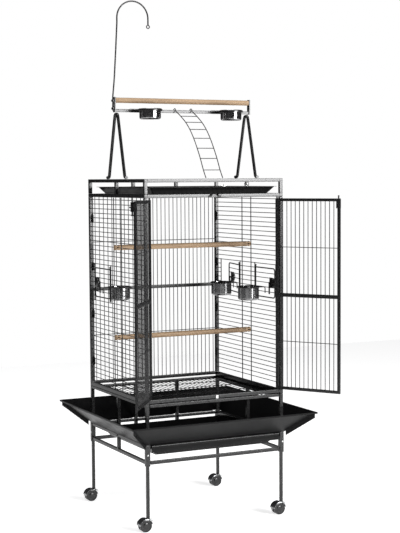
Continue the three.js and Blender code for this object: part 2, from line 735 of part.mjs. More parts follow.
// A wire ring held by a clamp plate on the front of the cup rail.
function topCupHolder(x) {
  return join([
    cupRing(x, TOP_CUP_Y, TOP_RING_Z),
    box([x - 68, x - 4], [-9.6, -6.3], [1667, 1677]),
    box([x - 14, x + 6], [-14.6, -8], [1672, 1677]),
  ]);
}

function perch(half, radius) {
  return bar([-half, 0, 0], [half, 0, 0], radius, 16);
}

// The wall bar runs through the slot in each end of an inside perch.
function insidePerch(z) {
  const slots = [-1, 1].map((end) => box([end * 299, end * 320], [-14, 14], [z - 2.1, z + 2.1]));
  return cut(bar([-315, 0, z], [315, 0, z], 11, 16), slots);
}

function wingNut() {
  const outline = [[-13, 9], [-6, 2], [6, 2], [13, 9], [8, 12], [0, 7], [-8, 12]];
  const shape = new THREE.Shape(outline.map((p) => new THREE.Vector2(...p)));
  const wings = new THREE.ExtrudeGeometry(shape, { depth: 4, bevelEnabled: false });
  wings.rotateX(Math.PI / 2);
  wings.rotateZ(Math.PI / 2);
  wings.translate(-2, 0, 0);
  return join([solid(wings), bar([0, 0, 0], [0, 0, 9], 5.5, 12)]);
}

// ---- assembly ----

const corners = [["front_left", -1, -1], ["front_right", 1, -1], ["rear_left", -1, 1], ["rear_right", 1, 1]];
for (const [label, side, end] of corners) {
  const foot = [side * POST_X, end * POST_Y, 0];
  add(`leg_${label}`, leg(), hammertone, foot);
  add(`caster_hood_${label}`, casterHood(), gunmetal, foot);
  add(`caster_wheel_${label}`, casterWheel(), plastic, [foot[0] - 14, foot[1], WHEEL_R]);
}
add("stand_left", standSide(-1), hammertone);
add("stand_right", standSide(1), hammertone);
add("stand_back", standBack(), hammertone);
add("front_stretcher", frontStretcher(), hammertone);

const toFront = (a, o) => [a, -o];
const toBack = (a, o) => [-a, o];
const toLeft = (a, o) => [-o, -a];
const toRight = (a, o) => [o, a];
const inX = HX + 3;
const inY = HY + 3;
add("guard_front", seedGuard(toFront, inX, inY, GUARD_X, GUARD_Y, [], false, [-1, 1]), blackSheet);
add("guard_back", seedGuard(toBack, inX, inY, GUARD_X, GUARD_Y, [-100, 100], true, []), blackSheet);
add("guard_left", seedGuard(toLeft, inY, inX, GUARD_Y, GUARD_X, [0], true, [-1]), blackSheet);
add("guard_right", seedGuard(toRight, inY, inX, GUARD_Y, GUARD_X, [0], true, [1]), blackSheet);

add("bottom_tray", bottomTray(), blackSheet);
add("floor_grate", floorGrate(), hammertone);
add("wall_left", sideWall(-1, [1]), hammertone);
add("wall_right", sideWall(1, [-1, 1]), hammertone);
add("wall_back", backWall(), hammertone);
add("front_sill", frontSill(), hammertone);
add("sill_keeper", box([-2, 8], [-298.6, -HY - GAP], [508.5, 521.5]), steel);
add("roof", roofFrame(), hammertone);

const leftHinge = [-DOOR_AXIS_X, DOOR_AXIS_Y, 0];
const rightHinge = [DOOR_AXIS_X, DOOR_AXIS_Y, 0];
add("door_left", mainDoor(1), hammertone, leftHinge, -LEFT_OPEN);
add("door_right", mainDoor(-1), hammertone, rightHinge, RIGHT_OPEN);
add("bolt_left", doorBolt(1), hammertone, leftHinge, -LEFT_OPEN);
add("bolt_right", doorBolt(-1), hammertone, rightHinge, RIGHT_OPEN);

const feeders = [["right_front", 1, -1, 0], ["right_rear", 1, 1, -REAR_FEEDER_AJAR], ["left_rear", -1, 1, 0]];
for (const [label, out, run, turn] of feeders) {
  const hinge = new THREE.Vector3(out * FEEDER_HINGE_X, run * FEEDER_HINGE_Y, 0);
  const swing = (u, v, z) => {
    const offset = new THREE.Vector3(out * u, run * v, z);
    return offset.applyAxisAngle(new THREE.Vector3(0, 0, 1), THREE.MathUtils.degToRad(turn)).add(hinge).toArray();
  };
  add(`feeder_door_${label}`, feederDoor(out, run), hammertone, hinge.toArray(), turn);
  add(`feeder_knob_${label}`, feederKnob(out), plastic, swing(0, KNOB_ALONG, KNOB_Z), turn);
  add(`feeder_cup_${label}`, cup(CUP_R, 58, 3), steel, swing(-CUP_OUT, CUP_ALONG, 883.9), turn);
}

add("perch_upper", insidePerch(FIRST_BAR_Z - 10 * PITCH), wood);
add("perch_lower", insidePerch(FIRST_BAR_Z - 29 * PITCH), wood);

add("play_frame", playFrame(), hammertone);
add("play_tray", playTray(), blackSheet);
add("wing_nut_front", wingNut(), steel, [44, -284.5, 1361.3], 90);
add("wing_nut_right", wingNut(), steel, [281.5, -31, 1361.3]);
add("trestle_left", trestle(-1), hammertone);
add("trestle_right", trestle(1), hammertone);
add("bracket_left", bracket(-1), hammertone);
add("bracket_right", bracket(1), hammertone);
const topPerchHalf = (RIGHT_BRACKET_X - LEFT_BRACKET_X) / 2 - 2.9;
add("play_perch", perch(topPerchHalf, 11), wood, [(LEFT_BRACKET_X + RIGHT_BRACKET_X) / 2, 0, TOP_PERCH_Z]);
add("cup_rail", cupRail(), hammertone);
add("toy_hook", toyHook(), hammertone);
add("ladder", ladder(), hammertone);
for (const [label, x] of [["left", -176], ["right", 196]]) {
  add(`cup_ring_${label}`, topCupHolder(x), hammertone);
  add(`play_cup_${label}`, cup(CUP_R, 43, 3), steel, [x, TOP_CUP_Y, TOP_RING_Z + 2.5 + 1.4 - 43]);
}

const model = new THREE.Group();
cage.position.set(-BOX_CENTRE[0], -BOX_CENTRE[1], 0);
model.add(cage);

export default model;
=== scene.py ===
# Finished look of the play-top bird cage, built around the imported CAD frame. Helpers take millimetres in
# the cage's own frame (centre of the posts, floor at zero) and store metres in the row's frame.
from math import cos, pi, radians, sin, sqrt

import bmesh
import bpy
from mathutils import Matrix, Vector


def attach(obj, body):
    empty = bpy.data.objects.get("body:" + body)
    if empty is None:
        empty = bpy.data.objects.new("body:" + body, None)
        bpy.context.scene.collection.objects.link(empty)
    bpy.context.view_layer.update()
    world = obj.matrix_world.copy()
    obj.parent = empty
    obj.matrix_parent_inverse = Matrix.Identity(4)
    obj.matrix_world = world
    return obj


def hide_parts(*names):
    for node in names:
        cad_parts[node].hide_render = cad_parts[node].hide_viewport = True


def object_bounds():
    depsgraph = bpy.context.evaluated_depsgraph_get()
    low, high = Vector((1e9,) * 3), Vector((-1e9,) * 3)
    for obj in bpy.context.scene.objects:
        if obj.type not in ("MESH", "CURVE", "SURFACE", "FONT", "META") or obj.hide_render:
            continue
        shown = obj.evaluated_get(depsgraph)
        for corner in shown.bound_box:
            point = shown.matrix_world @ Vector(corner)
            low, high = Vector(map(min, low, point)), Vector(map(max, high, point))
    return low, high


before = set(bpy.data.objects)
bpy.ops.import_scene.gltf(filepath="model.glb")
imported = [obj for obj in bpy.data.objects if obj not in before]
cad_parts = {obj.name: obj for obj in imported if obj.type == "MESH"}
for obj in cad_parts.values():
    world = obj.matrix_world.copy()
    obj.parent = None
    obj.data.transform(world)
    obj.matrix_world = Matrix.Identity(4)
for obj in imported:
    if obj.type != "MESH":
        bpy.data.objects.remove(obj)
CAD_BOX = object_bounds()

# Driving dimensions, the same as the frame's.
SHIFT = Vector((5.265, 66.975, 0))
HX, HY = 310, 296
TUBE = 14
IX, IY = HX - TUBE, HY - TUBE
PX, PY = HX - TUBE / 2, HY - TUBE / 2
PITCH = 19.5
WIRE = 1.6
FIRST_BAR = 1307.8
ROOF, ROOF_TOP = 1318, 1332
PLAY, PLAY_TOP = 1379, 1393
CUP_RAIL = 1666.3
LEFT_BRACKET, RIGHT_BRACKET = -308.5, 312.5
DOOR_X, DOOR_Y = 286, -291
BOLT = 272
LEFT_OPEN, RIGHT_OPEN = 125.3, 122.5
FEEDER_X, FEEDER_Y = 304, 74
FEEDER_W = 165
CUP_OUT, CUP_ALONG, CUP_R = 66, 57, 44
KNOB_ALONG, KNOB_Z = 130, 956
AJAR = 12
WHEEL_R, TRAIL = 25, 14
FLOOR_HALF = 4.5
FLOOR_GLOW = 0.78
ROOM_TONE = (0.06, 0.06, 0.062, 1)
CAMERA_AT = Vector((-2414.5, -5037.7, 1392.1))
CAMERA_LENS = 89.87
CORNERS = (("front_left", -1, -1), ("front_right", 1, -1), ("rear_left", -1, 1), ("rear_right", 1, 1))


# ---- materials ----

class Nodes:
    """A small helper that adds linked shader nodes to one material."""

    def __init__(self, name):
        self.material = bpy.data.materials.new(name)
        self.material.use_nodes = True
        self.tree = self.material.node_tree
        self.shader = self.tree.nodes["Principled BSDF"]
        self.coords = self.add("ShaderNodeTexCoord").outputs["Object"]

    def add(self, kind, **settings):
        node = self.tree.nodes.new(kind)
        for key, value in settings.items():
            setattr(node, key, value)
        return node

    def link(self, source, target):
        self.tree.links.new(source, target)

    def stretched(self, scale):
        mapping = self.add("ShaderNodeMapping")
        mapping.inputs["Scale"].default_value = scale
        self.link(self.coords, mapping.inputs["Vector"])
        return mapping.outputs["Vector"]

    def noise(self, scale, detail=3.0, vector=None, roughness=0.5):
        node = self.add("ShaderNodeTexNoise")
        node.inputs["Scale"].default_value = scale
        node.inputs["Detail"].default_value = detail
        node.inputs["Roughness"].default_value = roughness
        self.link(vector or self.coords, node.inputs["Vector"])
        return node.outputs["Fac"]

    def cells(self, scale):
        node = self.add("ShaderNodeTexVoronoi", feature="SMOOTH_F1")
        node.inputs["Scale"].default_value = scale
        self.link(self.coords, node.inputs["Vector"])
        return node.outputs["Distance"]

    def ramp(self, value, stops):
        node = self.add("ShaderNodeValToRGB")
        ramp = node.color_ramp
        while len(ramp.elements) < len(stops):
            ramp.elements.new(0.5)
        for element, (position, colour) in zip(ramp.elements, stops):
            element.position = position
            element.color = (*colour, 1) if len(colour) == 3 else colour
        self.link(value, node.inputs["Fac"])
        return node.outputs["Color"]

    def span(self, value, low, high, start=0.0, end=1.0):
        node = self.add("ShaderNodeMapRange")
        for name, number in (("From Min", start), ("From Max", end), ("To Min", low), ("To Max", high)):
            node.inputs[name].default_value = number
        self.link(value, node.inputs["Value"])
        return node.outputs["Result"]

    def sum(self, first, second, share):
        node = self.add("ShaderNodeMath", operation="MULTIPLY_ADD")
        self.link(second, node.inputs[0])
        node.inputs[1].default_value = share
        self.link(first, node.inputs[2])
        return node.outputs["Value"]

    def bump(self, height, distance, strength=1.0):
        node = self.add("ShaderNodeBump")
        node.inputs["Strength"].default_value = strength
        node.inputs["Distance"].default_value = distance
        self.link(height, node.inputs["Height"])
        self.link(node.outputs["Normal"], self.shader.inputs["Normal"])

    def set(self, **values):
        for key, value in values.items():
            self.shader.inputs[key.replace("_", " ")].default_value = value


def hammertone():
    """Black powder coat with the small silvery veins and dimples of a hammered finish."""
    n = Nodes("hammertone_black")
    veins = n.cells(520)
    cloud = n.noise(240, 4)
    colour = n.ramp(n.sum(veins, cloud, 0.5), [
        (0.40, (0.004, 0.004, 0.0042)), (0.72, (0.008, 0.008, 0.0083)), (0.95, (0.035, 0.035, 0.036)),
    ])
    n.link(colour, n.shader.inputs["Base Color"])
    n.link(n.span(cloud, 0.20, 0.34), n.shader.inputs["Roughness"])
    n.set(Specular_IOR_Level=0.36)
    n.bump(n.sum(veins, cloud, 0.4), 0.00009, 0.5)
    return n.material


def black_sheet():
    """Satin black powder coat on the pressed sheets: fine orange peel and faint dust marks."""
    n = Nodes("sheet_black")
    peel = n.noise(900, 2)
    marks = n.noise(14, 5, roughness=0.65)
    colour = n.ramp(marks, [(0.35, (0.0025, 0.0025, 0.0027)), (0.75, (0.005, 0.005, 0.0052))])
    n.link(colour, n.shader.inputs["Base Color"])
    n.link(n.span(marks, 0.26, 0.42, 0.3, 0.7), n.shader.inputs["Roughness"])
    n.set(Specular_IOR_Level=0.12)
    n.bump(peel, 0.0001, 0.35)
    return n.material


def stainless():
    """Spun stainless steel: turning marks stretch its reflections upwards, with soft smudges."""
    n = Nodes("stainless_spun")
    smudges = n.noise(35, 4)
    colour = n.ramp(smudges, [(0.3, (0.25, 0.25, 0.253)), (0.7, (0.31, 0.31, 0.313))])
    n.link(colour, n.shader.inputs["Base Color"])
    n.link(n.span(smudges, 0.15, 0.19, 0.3, 0.7), n.shader.inputs["Roughness"])
    around = n.add("ShaderNodeTangent", direction_type="RADIAL", axis="Z")
    n.link(around.outputs["Tangent"], n.shader.inputs["Tangent"])
    n.set(Metallic=1.0, Anisotropic=0.9)
    n.shader.inputs["Anisotropic Rotation"].default_value = 0.25
    n.bump(smudges, 0.00001, 0.2)
    return n.material


def perch_wood():
    """Turned hardwood dowel, grain along X, with darker pores."""
    n = Nodes("perch_hardwood")
    grain = n.noise(70, 6, n.stretched((0.05, 1, 1)), 0.6)
    pores = n.noise(420, 2, n.stretched((0.04, 1, 1)))
    colour = n.ramp(n.sum(grain, pores, 0.25), [
        (0.36, (0.09, 0.052, 0.027)), (0.50, (0.235, 0.15, 0.085)), (0.72, (0.345, 0.235, 0.14)),
    ])
    n.link(colour, n.shader.inputs["Base Color"])
    n.link(n.span(grain, 0.55, 0.75), n.shader.inputs["Roughness"])
    n.bump(n.sum(grain, pores, 0.6), 0.0004, 0.5)
    return n.material


def black_plastic():
    """Moulded nylon with a light grain and scuffs."""
    n = Nodes("plastic_black")
    grain = n.noise(1400, 2)
    scuffs = n.noise(60, 5, roughness=0.7)
    colour = n.ramp(scuffs, [(0.4, (0.006, 0.006, 0.0065)), (0.8, (0.016, 0.016, 0.0165))])
    n.link(colour, n.shader.inputs["Base Color"])
    n.link(n.span(scuffs, 0.18, 0.36, 0.3, 0.7), n.shader.inputs["Roughness"])
    n.bump(grain, 0.00008, 0.4)
    return n.material


def gunmetal():
    """Dark plated zinc of the caster hoods."""
    n = Nodes("caster_gunmetal")
    cloud = n.noise(90, 4)
    colour = n.ramp(cloud, [(0.3, (0.20, 0.205, 0.21)), (0.7, (0.33, 0.335, 0.34))])
    n.link(colour, n.shader.inputs["Base Color"])
    n.link(n.span(cloud, 0.14, 0.26, 0.3, 0.7), n.shader.inputs["Roughness"])
    n.set(Metallic=0.95)
    n.bump(cloud, 0.0001, 0.3)
    return n.material


def bright_zinc():
    """Bright plated screws, wing nuts and keepers."""
    n = Nodes("fitting_zinc")
    cloud = n.noise(220, 3)
    colour = n.ramp(cloud, [(0.3, (0.60, 0.61, 0.60)), (0.7, (0.78, 0.79, 0.78))])
    n.link(colour, n.shader.inputs["Base Color"])
    n.link(n.span(cloud, 0.36, 0.52, 0.3, 0.7), n.shader.inputs["Roughness"])
    n.set(Metallic=0.8)
    n.bump(cloud, 0.00006, 0.3)
    return n.material


MATERIALS = {
    "frame_paint": hammertone(),
    "sheet_paint": black_sheet(),
    "stainless": stainless(),
    "perch_wood": perch_wood(),
    "black_plastic": black_plastic(),
    "caster_metal": gunmetal(),
    "bright_fittings": bright_zinc(),
}


# ---- shapes ----

def plane_place(axis, along):
    """A matrix that puts a shape drawn about Z onto an axis, starting at a point."""
    turn = Vector((0, 0, 1)).rotation_difference(Vector(axis))
    return Matrix.Translation(along) @ turn.to_matrix().to_4x4()


class Piece:
    """One mesh built from closed shapes. "place" moves what is added next."""

    def __init__(self):
        self.bm = bmesh.new()
        self.place = Matrix.Identity(4)

    def _seal(self, verts):
        bmesh.ops.transform(self.bm, matrix=self.place, verts=verts)

    def box(self, x, y, z, edge=0.9):
        low = Vector((min(x), min(y), min(z)))
        high = Vector((max(x), max(y), max(z)))
        size = Matrix.Diagonal((*(high - low), 1))
        made = bmesh.ops.create_cube(self.bm, size=1, matrix=Matrix.Translation((low + high) / 2) @ size)
        verts = made["verts"]
        edge = min(edge, min(high - low) * 0.3)
        edges = list({e for v in verts for e in v.link_edges})
        done = bmesh.ops.bevel(self.bm, geom=edges, offset=edge, segments=2, profile=0.5, affect="EDGES")
        self._seal(list({v for f in done["faces"] for v in f.verts}))

    def rod(self, points, radius, sides=12, normal=None, closed=False):
        at = [Vector(p) for p in points]
        count = len(at)
        if normal is None:
            ahead = (at[1] - at[0]).normalized()
            guess = Vector((0, 0, 1)) if abs(ahead.z) < 0.9 else Vector((1, 0, 0))
            normal = ahead.cross(guess).normalized()
        up = Vector(normal)
        rings = []
        for i, point in enumerate(at):
            before = at[(i - 1) % count] if closed or i else None
            after = at[(i + 1) % count] if closed or i < count - 1 else None
            into = (point - before).normalized() if before else (after - point).normalized()
            out = (after - point).normalized() if after else into
            along = (into + out).normalized()
            across = up.cross(along) / max(along.dot(into), 0.3)
            ring = []
            for k in range(sides):
                angle = 2 * pi * k / sides
                spot = point + across * radius * cos(angle) + up * radius * sin(angle)
                ring.append(self.bm.verts.new(spot))
            rings.append(ring)
        for i in range(count if closed else count - 1):
            near, far = rings[i], rings[(i + 1) % count]
            for k in range(sides):
                j = (k + 1) % sides
                self.bm.faces.new((near[k], near[j], far[j], far[k]))
        if not closed:
            self.bm.faces.new(list(reversed(rings[0])))
            self.bm.faces.new(rings[-1])
        self._seal([v for ring in rings for v in ring])

    def turned(self, profile, centre, axis=(0, 0, 1), sides=40, turn=None):
        """A turned shape from [radius, height] points that start and end on the axis."""
        place = plane_place(axis, centre)
        if turn:
            place = place @ turn
        rings = []
        for radius, height in profile:
            if radius <= 0:
                rings.append([self.bm.verts.new(place @ Vector((0, 0, height)))])
                continue
            ring = []
            for k in range(sides):
                angle = 2 * pi * k / sides
                spot = Vector((radius * cos(angle), radius * sin(angle), height))
                ring.append(self.bm.verts.new(place @ spot))
            rings.append(ring)
        pairs = list(zip(rings, rings[1:]))
        if len(rings[0]) > 1:
            pairs.append((rings[-1], rings[0]))
        for low, high in pairs:
            for k in range(sides):
                j = (k + 1) % sides
                if len(low) == 1:
                    self.bm.faces.new((low[0], high[j], high[k]))
                elif len(high) == 1:
                    self.bm.faces.new((low[k], low[j], high[0]))
                else:
                    self.bm.faces.new((low[k], low[j], high[j], high[k]))
        self._seal([v for ring in rings for v in ring])

    def hull(self, lower, upper):
        """A solid between two rings of points, both going round the same way."""
        count = len(lower)
        rings = [[self.bm.verts.new(Vector(p)) for p in ring] for ring in (lower, upper)]
        self.bm.faces.new(list(reversed(rings[0])))
        self.bm.faces.new(rings[1])
        for k in range(count):
            j = (k + 1) % count
            self.bm.faces.new((rings[0][k], rings[0][j], rings[1][j], rings[1][k]))
        self._seal(rings[0] + rings[1])

    def screw(self, centre, axis, radius=4.5):
        """A domed pan head."""
        profile = [
            (0, 0.02), (radius, 0.02), (radius, 1.0), (radius * 0.86, 1.9), (radius * 0.5, 2.5), (0, 2.7),
        ]
        self.turned(profile, centre, axis, 20)

    def done(self, name, body, slot, *nodes):
        bmesh.ops.recalc_face_normals(self.bm, faces=self.bm.faces)
        bmesh.ops.translate(self.bm, vec=SHIFT, verts=self.bm.verts)
        bmesh.ops.scale(self.bm, vec=(0.001, 0.001, 0.001), verts=self.bm.verts)
        mesh = bpy.data.meshes.new(name)
        self.bm.to_mesh(mesh)
        self.bm.free()
        mesh.shade_smooth()
        mesh.set_sharp_from_angle(angle=radians(38))
        mesh.materials.append(MATERIALS[slot])
        made = bpy.data.objects.new(name, mesh)
        bpy.context.scene.collection.objects.link(made)
        flat = made.modifiers.new("flat_faces", "WEIGHTED_NORMAL")
        flat.keep_sharp = True
        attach(made, body)
        if nodes:
            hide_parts(*nodes)
        return made


def rounded(points, bend, steps=5):
    """Points of a bent line with its inner corners rounded."""
    at = [Vector(p) for p in points]
    result = [at[0]]
    for i in range(1, len(at) - 1):
        before = at[i] + (at[i - 1] - at[i]).normalized() * bend
        after = at[i] + (at[i + 1] - at[i]).normalized() * bend
        for k in range(steps + 1):
            t = k / steps
            result.append(before * (1 - t) ** 2 + at[i] * 2 * t * (1 - t) + after * t * t)
    result.append(at[-1])
    return result


def arc(radius, start, end, count, place):
    step = radians(end - start) / (count - 1)
    return [Vector(place(radius * cos(radians(start) + i * step), radius * sin(radians(start) + i * step)))
            for i in range(count)]


def smooth_line(points, per=6):
    """A Catmull-Rom curve through the points."""
    at = [Vector(p) for p in points]
    at = [at[0] * 2 - at[1]] + at + [at[-1] * 2 - at[-2]]
    result = []
    for i in range(1, len(at) - 2):
        a, b, c, d = at[i - 1:i + 3]
        for k in range(per):
            t = k / per
            result.append(0.5 * (2 * b + (c - a) * t + (2 * a - 5 * b + 4 * c - d) * t * t
                                 + (3 * b - a - 3 * c + d) * t ** 3))
    result.append(at[-2])
    return result


def steps(first, count, gap):
    return [first + i * gap for i in range(count)]


# ---- rolling stand ----

def caster(label, side, end):
    home = Matrix.Translation((side * PX, end * PY, 0))
    hood = Piece()
    hood.place = home
    for width, radius, start, stop, inner in ((36, 28, 12, 176, 26), (7, 27, -14, 194, 0)):
        outer = arc(radius, start, stop, 28, lambda a, b: (a - TRAIL, 0, WHEEL_R + b))
        if inner:
            outer += list(reversed(arc(inner, start, stop, 28, lambda a, b: (a - TRAIL, 0, WHEEL_R + b))))
        shift = Vector((0, width / 2, 0))
        hood.hull([p + shift for p in outer], [p - shift for p in outer])
    for y in (-17.5, 17.5):
        rim = arc(27, 12, 176, 28, lambda a, b: (a - TRAIL, y, WHEEL_R + b))
        hood.rod(rim, 1.5, 8, (0, 1, 0))
    hood.turned([(0, 49.5), (8.2, 49.5), (8.8, 50.2), (8.8, 52), (8, 52.7), (0, 52.7)], (0, 0, 0), sides=28)
    hood.rod([(0, 0, 50), (0, 0, 86)], 4, 16)
    hood.box((6, 18), (-6, 6), (43.8, 46.6), 1.2)
    hood.box((14, 18), (-6, 6), (41.5, 46.6), 1.2)
    hood.done(f"hood_{label}", f"caster_{label}", "caster_metal", f"caster_hood_{label}")
    wheel = Piece()
    wheel.place = home
    r = WHEEL_R
    centre = (-TRAIL, 0, r)
    for face in (-1, 1):
        tread = [
            (0, 4.4), (r - 2, 4.4), (r - 0.6, 4.9), (r, 6), (r, 13.5), (r - 0.8, 15.2), (r - 2.6, 16),
            (r - 5, 16), (r - 5.6, 15), (13, 14.2), (12, 15.4), (8.5, 16.2), (5, 16.6), (0, 16.8),
        ]
        wheel.turned(tread, centre, (0, face, 0), 48)
    wheel.rod([(-TRAIL, -16, r), (-TRAIL, 16, r)], 3, 16)
    wheel.done(f"wheels_{label}", f"wheel_{label}", "black_plastic", f"caster_wheel_{label}")


def leg(label, side, end):
    x, y = side * PX, end * PY
    tube = Piece()
    tube.box((x - 6, x + 6), (y - 6, y + 6), (53, 302), 1.2)
    tube.turned([(0, 53.1), (7.4, 53.1), (7.4, 55.5), (6.4, 56.2), (0, 56.2)], (x, y, 0), sides=28)
    tube.done(f"leg_tube_{label}", "cage", "frame_paint", f"leg_{label}")


def stand_side(name, side):
    outer = (side * IX, side * HX)
    run = (-IY - 1, IY + 1)
    rail = Piece()
    for end in (-1, 1):
        rail.box(outer, (end * IY, end * HY), (338, 505), 1.4)
        x, y = side * PX, end * PY
        rail.box((x - 9, x + 9), (y - 9, y + 9), (260, 344), 1.3)
    rail.box(outer, (-7, 7), (271, 498), 1.3)
    rail.box((side * 297, side * 309), run, (266, 280), 1.3)
    rail.box(outer, run, (331, 342), 1.2)
    rail.box(outer, run, (493, 505), 1.3)
    rail.box((side * 296, side * 298), (-272, 272), (324.4, 332), 0.4)
    rail.box((side * 283, side * 298), (-272, 272), (324.4, 326.2), 0.4)
    rail.box((side * 285, side * 297), (-272, 272), (489.4, 493.4), 0.5)
    rail.done(f"{name}_tubes", "cage", "frame_paint", name)


def stand_back_and_front():
    back = Piece()
    across = (-IX + 3.5, IX - 3.5)
    thick = (IY, HY)
    back.box(across, (283, 295), (266, 280), 1.3)
    back.box(across, thick, (331, 342), 1.2)
    back.box((-IX + 0.3, IX - 0.3), thick, (491, 503), 1.3)
    for x in (-100, 100):
        back.box((x - 7, x + 7), thick, (271, 496), 1.3)
    back.done("stand_back_tubes", "cage", "frame_paint", "stand_back")
    front = Piece()
    front.box((-290.5, 290.5), (-295, -283), (266, 280), 1.4)
    front.done("front_stretcher_tube", "cage", "frame_paint", "front_stretcher")
    bolts = Piece()
    for side in (-1, 1):
        bolts.screw((side * 305, -HY - 2, 305), (0, -1, 0), 3.6)
        bolts.screw((side * HX + side * 2, 285, 302), (side, 0, 0), 3.6)
    bolts.done("sleeve_screws", "cage", "bright_fittings")


# ---- seed guards ----

def guard(name, place, inner_half, inner_out, outer_half, outer_out, posts, rests, heads):
    z0, z1 = 345, 432
    clear = 0.7
    sheet = Piece()

    def at(a, o, z):
        x, y = place(a, o)
        return Vector((x, y, z))

    near, far = inner_half - clear, outer_half - clear
    slope = [
        at(-near, inner_out, z0), at(near, inner_out, z0), at(far, outer_out, z1), at(-far, outer_out, z1),
    ]
    sheet.hull(slope, [p + Vector((0, 0, 1.4)) for p in slope])
    hem = [at(-far - 1, outer_out - 1, z1), at(far + 1, outer_out - 1, z1),
           at(far + 5, outer_out + 5, z1), at(-far - 5, outer_out + 5, z1)]
    sheet.hull(hem, [p + Vector((0, 0, 1.4)) for p in hem])
    turned = [at(-far - 5, outer_out + 3.8, z1 - 5), at(far + 5, outer_out + 3.8, z1 - 5),
              at(far + 5, outer_out + 5, z1 - 5), at(-far - 5, outer_out + 5, z1 - 5)]
    sheet.hull(turned, [p + Vector((0, 0, 5.4)) for p in turned])
    if rests:
        ends = [-inner_half + 34]
        for post in sorted(posts):
            ends += [post - 17, post + 17]
        ends.append(inner_half - 34)
        for lo, hi in zip(ends[0::2], ends[1::2]):
            foot = [at(lo, inner_out - 14, 345), at(hi, inner_out - 14, 345),
                    at(hi, inner_out + 1, 345), at(lo, inner_out + 1, 345)]
            sheet.hull(foot, [p + Vector((0, 0, 1.4)) for p in foot])
            skirt = [at(lo, inner_out - 0.4, 342.4), at(hi, inner_out - 0.4, 342.4),
                     at(hi, inner_out + 1, 342.4), at(lo, inner_out + 1, 342.4)]
            sheet.hull(skirt, [p + Vector((0, 0, 3)) for p in skirt])
    for end in (-1, 1):
        ring = []
        for a, o, drop in ((6, 6, -20), (outer_half - inner_half - 3, outer_out - inner_out - 3, -20),
                           (outer_half - inner_half - 3, outer_out - inner_out - 3, 0.6), (6, 6, 0.6)):
            z = z0 + (z1 - z0) * o / (outer_out - inner_out) + drop
            ring.append(at(end * (inner_half + a - clear - 2), inner_out + o, z))
        offset = at(end * 1.6, 0, 0) - at(0, 0, 0)
        sheet.hull(ring, [p + offset for p in ring])
    sheet.done(f"{name}_sheet", "cage", "sheet_paint", name)
    if not heads:
        return
    bolts = Piece()
    for end in heads:
        for share in (0.3, 0.78):
            a = end * (inner_half + (outer_half - inner_half) * share - clear - 2)
            o = inner_out + (outer_out - inner_out) * share
            z = z0 + (z1 - z0) * share - 10
            axis = at(-end, 1, 0) - at(0, 0, 0)
            bolts.screw(at(a, o, z) + axis.normalized() * 0.3, axis.normalized(), 3.6)
    bolts.done(f"{name}_screws", "cage", "sheet_paint")


# ---- trays and grate ----

def pan(name, body, bottom, rim, z0, z1, flange, flange_z, slot="sheet_paint", front=False):
    """A pressed pan with sloping walls, a rolled rim and rounded inner corners."""
    tray = Piece()

    def ring(rect, z, corner, inset=0.0):
        x0, x1, y0, y1 = rect[0] + inset, rect[1] - inset, rect[2] + inset, rect[3] - inset
        points = []
        for cx, cy, start in ((x1, y1, 0), (x0, y1, 90), (x0, y0, 180), (x1, y0, 270)):
            sx = -1 if cx == x1 else 1
            sy = -1 if cy == y1 else 1
            for k in range(5):
                angle = radians(start + k * 22.5)
                points.append(Vector((cx + sx * corner + corner * cos(angle),
                                      cy + sy * corner + corner * sin(angle), z)))
        return points

    loops = [
        ring(bottom, z0, 8), ring(rim, z1, 3), ring(flange, flange_z, 3), ring(flange, flange_z + 1.6, 3),
        ring(rim, z1 + 1.4, 3, 1.4), ring(bottom, z0 + 1.4, 8, 1.2),
    ]
    rows = [[tray.bm.verts.new(p) for p in loop] for loop in loops]
    for low, high in zip(rows, rows[1:]):
        for k in range(len(low)):
            j = (k + 1) % len(low)
            tray.bm.faces.new((low[k], low[j], high[j], high[k]))
    tray.bm.faces.new(list(reversed(rows[0])))
    tray.bm.faces.new(rows[-1])
    if front:
        tray.box((-287, 287), (-298.4, -297), (314, 343), 0.4)
        tray.box((-287, 287), (-301.5, -297), (341.6, 343), 0.4)
        tray.box((-287, 287), (-301.5, -300.3), (338.5, 343), 0.4)
        tray.box((-287, 287), (-298.4, -284), (326.6, 328.2), 0.4)
        bead = Piece()
        bead.rod([(-287, -299.4, 339.6), (287, -299.4, 339.6)], 2.6, 16)
        bead.done(f"{name}_bead", body, "frame_paint")
    tray.done(f"{name}_pan", body, slot, name)


def floor_grate():
    grate = Piece()
    z = 494
    grate.box((-293, 293), (-295.7, -284), (492.6, 504.6), 1.3)
    for x in (-292, 284):
        grate.box((x, x + 8), (-285, 279), (z, z + 8), 1)
    grate.box((-292, 292), (271, 279), (z, z + 8), 1)
    for x in steps(-14 * PITCH, 29, PITCH):
        grate.rod([(x, -286, z + 5), (x, 273, z + 5)], 1.5, 8)
    for y in (-190, -60, 70, 180):
        grate.rod([(-286, y, z + 2.2), (286, y, z + 2.2)], 1.6, 8)
    grate.done("grate", "floor_grate", "frame_paint", "floor_grate")
    heads = Piece()
    for x, height in ((-33, 498), (39, 500)):
        heads.screw((x, -295.6, height), (0, -1, 0), 2.6)
    heads.done("grate_lip_screws", "floor_grate", "black_plastic")


# ---- cage walls ----

